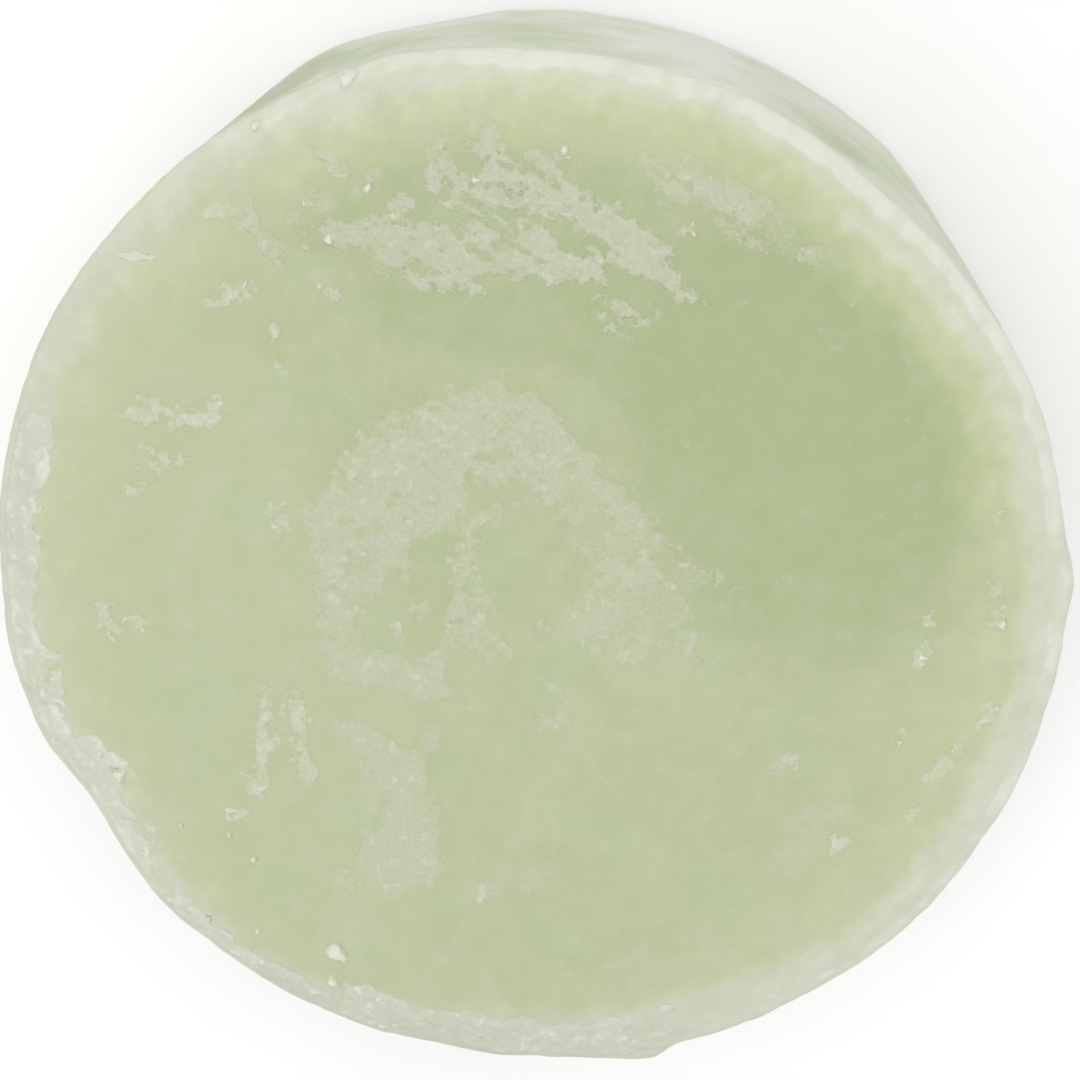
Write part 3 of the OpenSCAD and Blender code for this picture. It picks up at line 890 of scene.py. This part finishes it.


# Bare soap, which also carries the painted shade on the face, and haze, which also carries a painted soft
# reflection
CLEAN_AND_SHADED_GREEN = srgb(172, 184, 139)
HAZE_AND_SHEEN_GREEN = srgb(190, 197, 159)
COOL_GREEN = srgb(182, 198, 158)
WARM_GREEN = srgb(192, 196, 154)
BLOOM_STOPS = [(0.3, srgb(193, 201, 158)), (0.6, srgb(203, 209, 172)), (1.0, srgb(216, 220, 192))]
BAND_STOPS = [
    (0.0, srgb(203, 206, 187)),
    (0.4, srgb(210, 213, 194)),
    (0.8, srgb(217, 220, 201)),
    (1.0, srgb(229, 231, 219)),
]
WALL_STOPS = [
    (0.0, srgb(193, 199, 173)),
    (0.3, srgb(202, 211, 181)),
    (0.6, srgb(216, 220, 201)),
    (1.0, srgb(227, 230, 217)),
]
# Film colour, and a lighter colour painted on the tops of its grain as a highlight
FILM_CREAM = srgb(195, 199, 173)
FILM_GRAIN_HIGHLIGHT = srgb(204, 208, 187)
CRUST_LIGHT = srgb(224, 227, 214)
# The flakes' colour and the painted highlight on their grain tops
FLAKE_TONES = (srgb(204, 207, 186), srgb(219, 222, 206))
SPECK_WHITE = srgb(229, 232, 220)
# Crumbs run from the soap colour at their foot to a painted highlight on their tops
CRUMB_HIGHLIGHT_STOPS = [(0.0, srgb(198, 204, 172)), (0.5, srgb(212, 216, 191)), (1.0, srgb(228, 231, 213))]


def surface_material(name, roughness, subsurface=0.0, speck=0.3, film_tones=(FILM_CREAM, FILM_GRAIN_HIGHLIGHT)):
    """Translucent green soap, hazed by dried lather, pale at the shoulder and side, grained under film.
    Soft shade and reflection are painted on the face, and highlights on the grain tops.
    """
    n = Nodes(name)
    clean_and_shade, bloom, film, crust = (n.attribute(key) for key in ("clean_and_shade", "bloom", "film", "crust"))
    wall, pale = n.attribute("wall"), n.attribute("pale")
    grains = n.noise(0.2, 3, 0.65, seed=3.1)
    sand = n.noise(0.1, 2, 0.6, seed=6.4)
    cloud = n.noise(5.0, 3, 0.5, seed=7.7)
    mottle = n.noise(1.6, 4, 0.6, seed=1.7)
    # Darker where the face is bare and where shade is painted; the paler haze is partly a painted soft
    # reflection
    colour = n.mix(clean_and_shade, HAZE_AND_SHEEN_GREEN, CLEAN_AND_SHADED_GREEN)
    tint = n.remap(clean_and_shade, 0.0, 1.0, 0.5, 0.15)
    colour = n.mix(n.math("MULTIPLY", n.remap(cloud, 0.45, 0.7), tint), colour, COOL_GREEN)
    colour = n.mix(n.math("MULTIPLY", n.remap(cloud, 0.5, 0.3), tint), colour, WARM_GREEN)
    haze = n.remap(mottle, 0.45, 0.75, 0.0, 0.5)
    colour = n.mix(n.math("MULTIPLY", haze, n.remap(clean_and_shade, 0.0, 1.0, 1.0, 0.3)), colour, FILM_CREAM)
    rough_bloom = n.math("ADD", bloom, n.remap(mottle, 0.3, 0.7, -0.05, 0.05))
    bloom_tone = n.mix(n.remap(pale, 0.4, 0.7, 0.35, 0.0), n.ramp(rough_bloom, BLOOM_STOPS), FILM_CREAM)
    colour = n.mix(n.remap(bloom, 0.02, 0.4), colour, bloom_tone)
    grained = n.math("MULTIPLY", n.remap(grains, 0.3, 0.7, -0.45, 0.45), n.remap(film, 0, 0.3))
    cover = n.math("ADD", n.math("MULTIPLY", film, 0.9), grained)
    colour = n.mix(n.remap(cover, 0.1, 0.9), colour, film_tones[0])
    # The grain tops are painted lighter, a highlight, where the film is thick
    lit = n.math("MULTIPLY", n.remap(grains, 0.5, 0.7), n.remap(film, 0.3, 0.9))
    colour = n.mix(n.math("MULTIPLY", lit, 0.6), colour, film_tones[1])
    flecks = n.remap(n.noise(0.7, 4, 0.65, seed=9.3), 0.55, 0.75, 0.0, 0.5)
    crust_tone = n.mix(flecks, n.ramp(pale, BAND_STOPS), CRUST_LIGHT)
    colour = n.mix(crust, colour, crust_tone)
    colour = n.mix(n.math("MULTIPLY", n.attribute("grit"), speck), colour, SPECK_WHITE)
    streaks = n.noise(1.6, 4, 0.6, stretch=(0.35, 0.35, 1.6), seed=2.9)
    wall_tone = n.ramp(n.math("ADD", pale, n.remap(streaks, 0.3, 0.7, -0.1, 0.1)), WALL_STOPS)
    colour = n.mix(wall, colour, wall_tone)
    uneven = n.math("ADD", n.remap(sand, 0.3, 0.7, -0.025, 0.025), n.remap(mottle, 0.3, 0.7, 0.982, 1.018))
    colour = n.brightness(colour, uneven)
    dull = n.math("MAXIMUM", n.math("MAXIMUM", film, crust), n.math("MAXIMUM", wall, bloom))
    gloss = n.blend(dull, n.remap(mottle, 0.3, 0.7, roughness - 0.05, roughness + 0.05), 0.74)
    relief = n.bump(sand, n.blend(dull, 0.08, 0.35), 0.04)
    relief = n.bump(grains, n.blend(dull, 0.08, 0.5), 0.06, relief)
    lumps = n.noise(0.6, 2, 0.5, seed=12.3)
    relief = n.bump(lumps, n.math("MAXIMUM", film, n.math("MULTIPLY", crust, 0.5)), 0.12, relief)
    return n.finish(colour, gloss, relief, subsurface, (0.5, 0.6, 0.3), 0.35)


def crumb_material():
    """Pale broken soap, whiter toward its tops as a painted highlight."""
    n = Nodes("crumb_cream")
    fine = n.noise(0.3, 3, 0.6, seed=6.1)
    # Lighter toward the tops: a painted highlight
    light = n.math("ADD", n.remap(n.attribute("rise"), 0.0, 0.5), n.remap(fine, 0.3, 0.7, -0.3, 0.3))
    colour = n.ramp(light, CRUMB_HIGHLIGHT_STOPS)
    colour = n.mix(n.attribute("crust"), colour, n.ramp(light, BAND_STOPS[2:]))
    relief = n.bump(n.noise(0.15, 3, 0.6, seed=8.0), 0.5, 0.05)
    return n.finish(colour, n.remap(fine, 0.3, 0.7, 0.6, 0.8), relief, 0.0, (0.6, 0.8, 0.4), 0.25)


def floor_material():
    """Plain pale floor with the faintest unevenness."""
    n = Nodes("pale_floor")
    colour = n.mix(n.remap(n.noise(40, 2), 0.3, 0.7), (0.95, 0.95, 0.95, 1), (0.97, 0.97, 0.97, 1))
    relief = n.bump(n.noise(3, 2), 0.05, 0.05)
    return n.finish(colour, 0.9, relief, 0.0, (1, 1, 1), 0.1)


# -------- pieces


def make_cake(material):
    """The cast cake as one closed surface."""
    points, faces = cake_shape()
    x, y, z = points.T
    theta = np.arctan2(y, x)
    on_wall = ramp(z, ARRIS_Z - 0.2, ARRIS_Z - 1.0)
    attributes = face_attributes(x, y)
    for key in ("clean_and_shade", "bloom", "film", "crust"):
        attributes[key] = attributes[key] * (1 - on_wall)
    attributes["wall"] = on_wall
    attributes["pale"] += on_wall * (pale_and_shade_mask(theta, z) - attributes["pale"])
    cake = make_object("cake_soap", points, faces, attributes)
    cake.data.materials.append(material)
    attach(cake, "root")
    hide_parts("soap_cake")


OUTLINE_STEPS = 24


def island_ratios(mesh, places):
    """How far out each point lies in its own loose part: 0 in the middle and 1 at its outline."""
    parent = list(range(len(places)))

    def root(i):
        while parent[i] != i:
            parent[i] = parent[parent[i]]
            i = parent[i]
        return i

    for edge in mesh.edges:
        a, b = root(edge.vertices[0]), root(edge.vertices[1])
        parent[a] = b
    _, island = np.unique([root(i) for i in range(len(places))], return_inverse=True)
    size = np.bincount(island)
    middle = np.stack([np.bincount(island, places[:, k]) / size for k in (0, 1)], -1)
    out = places[:, :2] - middle[island]
    distance = np.hypot(*out.T)
    turn = (np.degrees(np.arctan2(out[:, 1], out[:, 0])) % 360) / 360 * OUTLINE_STEPS
    step = turn.astype(int) % OUTLINE_STEPS
    reach = np.zeros((len(size), OUTLINE_STEPS))
    np.maximum.at(reach, (island, step), distance)
    reach = np.maximum(reach, 0.5 * (np.roll(reach, 1, 1) + np.roll(reach, -1, 1)))
    share = np.abs(turn - step - 0.5)
    beside = (step + np.where(turn - step > 0.5, 1, -1)) % OUTLINE_STEPS
    limit = reach[island, step] * (1 - share) + reach[island, beside] * share
    return np.minimum(distance / limit, 1)


def broken_copy(name, node, material, cell, push, flatten, dome, sink, top_highlight, seed):
    """A CAD group of small solids as broken lumps.

    They are remeshed, flattened, domed, sunk into the cake and pushed about by noise. How much they whiten
    toward their tops, a painted highlight, is set by its own argument.
    """
    piece = bpy.data.objects.new(name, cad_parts[node].data.copy())
    bpy.context.scene.collection.objects.link(piece)
    split = piece.modifiers.new("remesh", "REMESH")
    split.mode = "VOXEL"
    split.voxel_size = cell * MM
    rounding = piece.modifiers.new("rounding", "SMOOTH")
    rounding.iterations = 10
    bpy.context.view_layer.update()
    evaluated = piece.evaluated_get(bpy.context.evaluated_depsgraph_get())
    mesh = bpy.data.meshes.new_from_object(evaluated)
    piece.modifiers.clear()
    piece.data = mesh
    mesh.name = name
    places = np.array([vertex.co for vertex in mesh.vertices]) / MM
    ratio = island_ratios(mesh, places)
    ground = surface_height(places[:, 0], places[:, 1])
    rise = (places[:, 2] - ground) * flatten * (1 - dome * ratio**2)
    places[:, 2] = ground + rise - np.where(rise > 0, sink, 0.05 + sink)
    for vertex, place in zip(mesh.vertices, places):
        p = Vector(place)
        shift = noise.noise_vector(p * 1.1 + Vector((seed, 0, 0))) * push * 1.5
        shift += noise.noise_vector(p * 2.8 + Vector((0, seed, 0))) * push
        shift += noise.noise_vector(p * 7 + Vector((0, 0, seed))) * push * 0.4
        shift.z *= 0.3
        vertex.co = (p + shift) * MM
    crust = face_attributes(places[:, 0], places[:, 1])["crust"]
    for key, values in (("rise", top_highlight * rise / rise.max()), ("crust", crust)):
        layer = mesh.attributes.new(key, "FLOAT", "POINT")
        layer.data.foreach_set("value", values.astype(np.float32))
    mesh.polygons.foreach_set("use_smooth", [True] * len(mesh.polygons))
    mesh.materials.clear()
    mesh.materials.append(material)
    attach(piece, "root")
    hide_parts(node)


# -------- stage, light and camera


def make_stage(material):
    side = 1500
    corners = [(-side, -side, 0), (side, -side, 0), (side, side, 0), (-side, side, 0)]
    floor = make_object("floor", corners, [(0, 1, 2, 3)], smooth_shaded=False)
    floor.data.materials.append(material)


# Distance and side of the square lights
LIGHT_AWAY = 900
LIGHT_SIDE = 900


def soft_light(name, direction, elevation, watts):
    """A square area light that looks at the cake from a direction and elevation in degrees."""
    light = bpy.data.lights.new(name, "AREA")
    light.shape = "SQUARE"
    light.size = LIGHT_SIDE * MM
    light.energy = watts
    lamp = bpy.data.objects.new(name, light)
    a, e = math.radians(direction), math.radians(elevation)
    place = Vector((math.cos(e) * math.cos(a), math.cos(e) * math.sin(a), math.sin(e))) * LIGHT_AWAY
    lamp.location = (place + Vector((0, 0, CAKE_H))) * MM
    lamp.rotation_euler = place.to_track_quat("Z", "Y").to_euler()
    bpy.context.scene.collection.objects.link(lamp)


def make_lights():
    world = bpy.data.worlds.new("soft_white")
    world.use_nodes = True
    background = world.node_tree.nodes["Background"]
    background.inputs["Color"].default_value = (1, 1, 1, 1)
    background.inputs["Strength"].default_value = 0.63
    bpy.context.scene.world = world
    soft_light("key", direction=70, elevation=66, watts=3.7)
    soft_light("fill", direction=215, elevation=62, watts=1.85)


# The camera looks down on the face from CAMERA_TILT off its axis, from the side that CAMERA_FROM gives
CAMERA_TILT = 20.2
CAMERA_FROM = 74
CAMERA_DISTANCE = 150.5
CAMERA_SHIFT = (1.2, 3.4)
LENS = 77.1


def make_camera():
    tilt, side = math.radians(CAMERA_TILT), math.radians(CAMERA_FROM)
    turn = Matrix.Rotation(tilt, 4, Vector((-math.sin(side), math.cos(side), 0)))
    shift = turn @ Vector((*CAMERA_SHIFT, CAMERA_DISTANCE))
    camera = bpy.data.objects.new("camera", bpy.data.cameras.new("camera"))
    camera.data.lens = LENS
    camera.data.sensor_width = 36
    camera.data.clip_start = 0.01
    camera.matrix_world = Matrix.Translation((shift + Vector((0, 0, ARRIS_Z))) * MM) @ turn
    bpy.context.scene.collection.objects.link(camera)
    bpy.context.scene.camera = camera


# -------- the scene

make_camera()
make_lights()
make_stage(floor_material())
make_cake(surface_material("soap_green", roughness=0.46, subsurface=0.12))
make_films(
    surface_material("dry_lather", roughness=0.7),
    surface_material("loose_lather", roughness=0.7, speck=0.5, film_tones=FLAKE_TONES),
    surface_material("edge_crust", roughness=0.66, speck=0.8),
)
crumb = crumb_material()
# The lumps get the full painted highlight on their tops, the curls less
lumps = {"push": 0.1, "flatten": 0.6, "dome": 1.0, "sink": 0.03, "top_highlight": 1.0, "seed": 3.0}
curls = {"push": 0.14, "flatten": 0.5, "dome": 0.0, "sink": 0.12, "top_highlight": 0.3, "seed": 5.0}
broken_copy("crumbs_broken", "crumbs", crumb, 0.07, **lumps)
broken_copy("slivers_curled", "slivers", crumb, 0.05, **curls)

bpy.context.scene.view_settings.view_transform = "Standard"
bpy.context.scene.view_settings.look = "None"
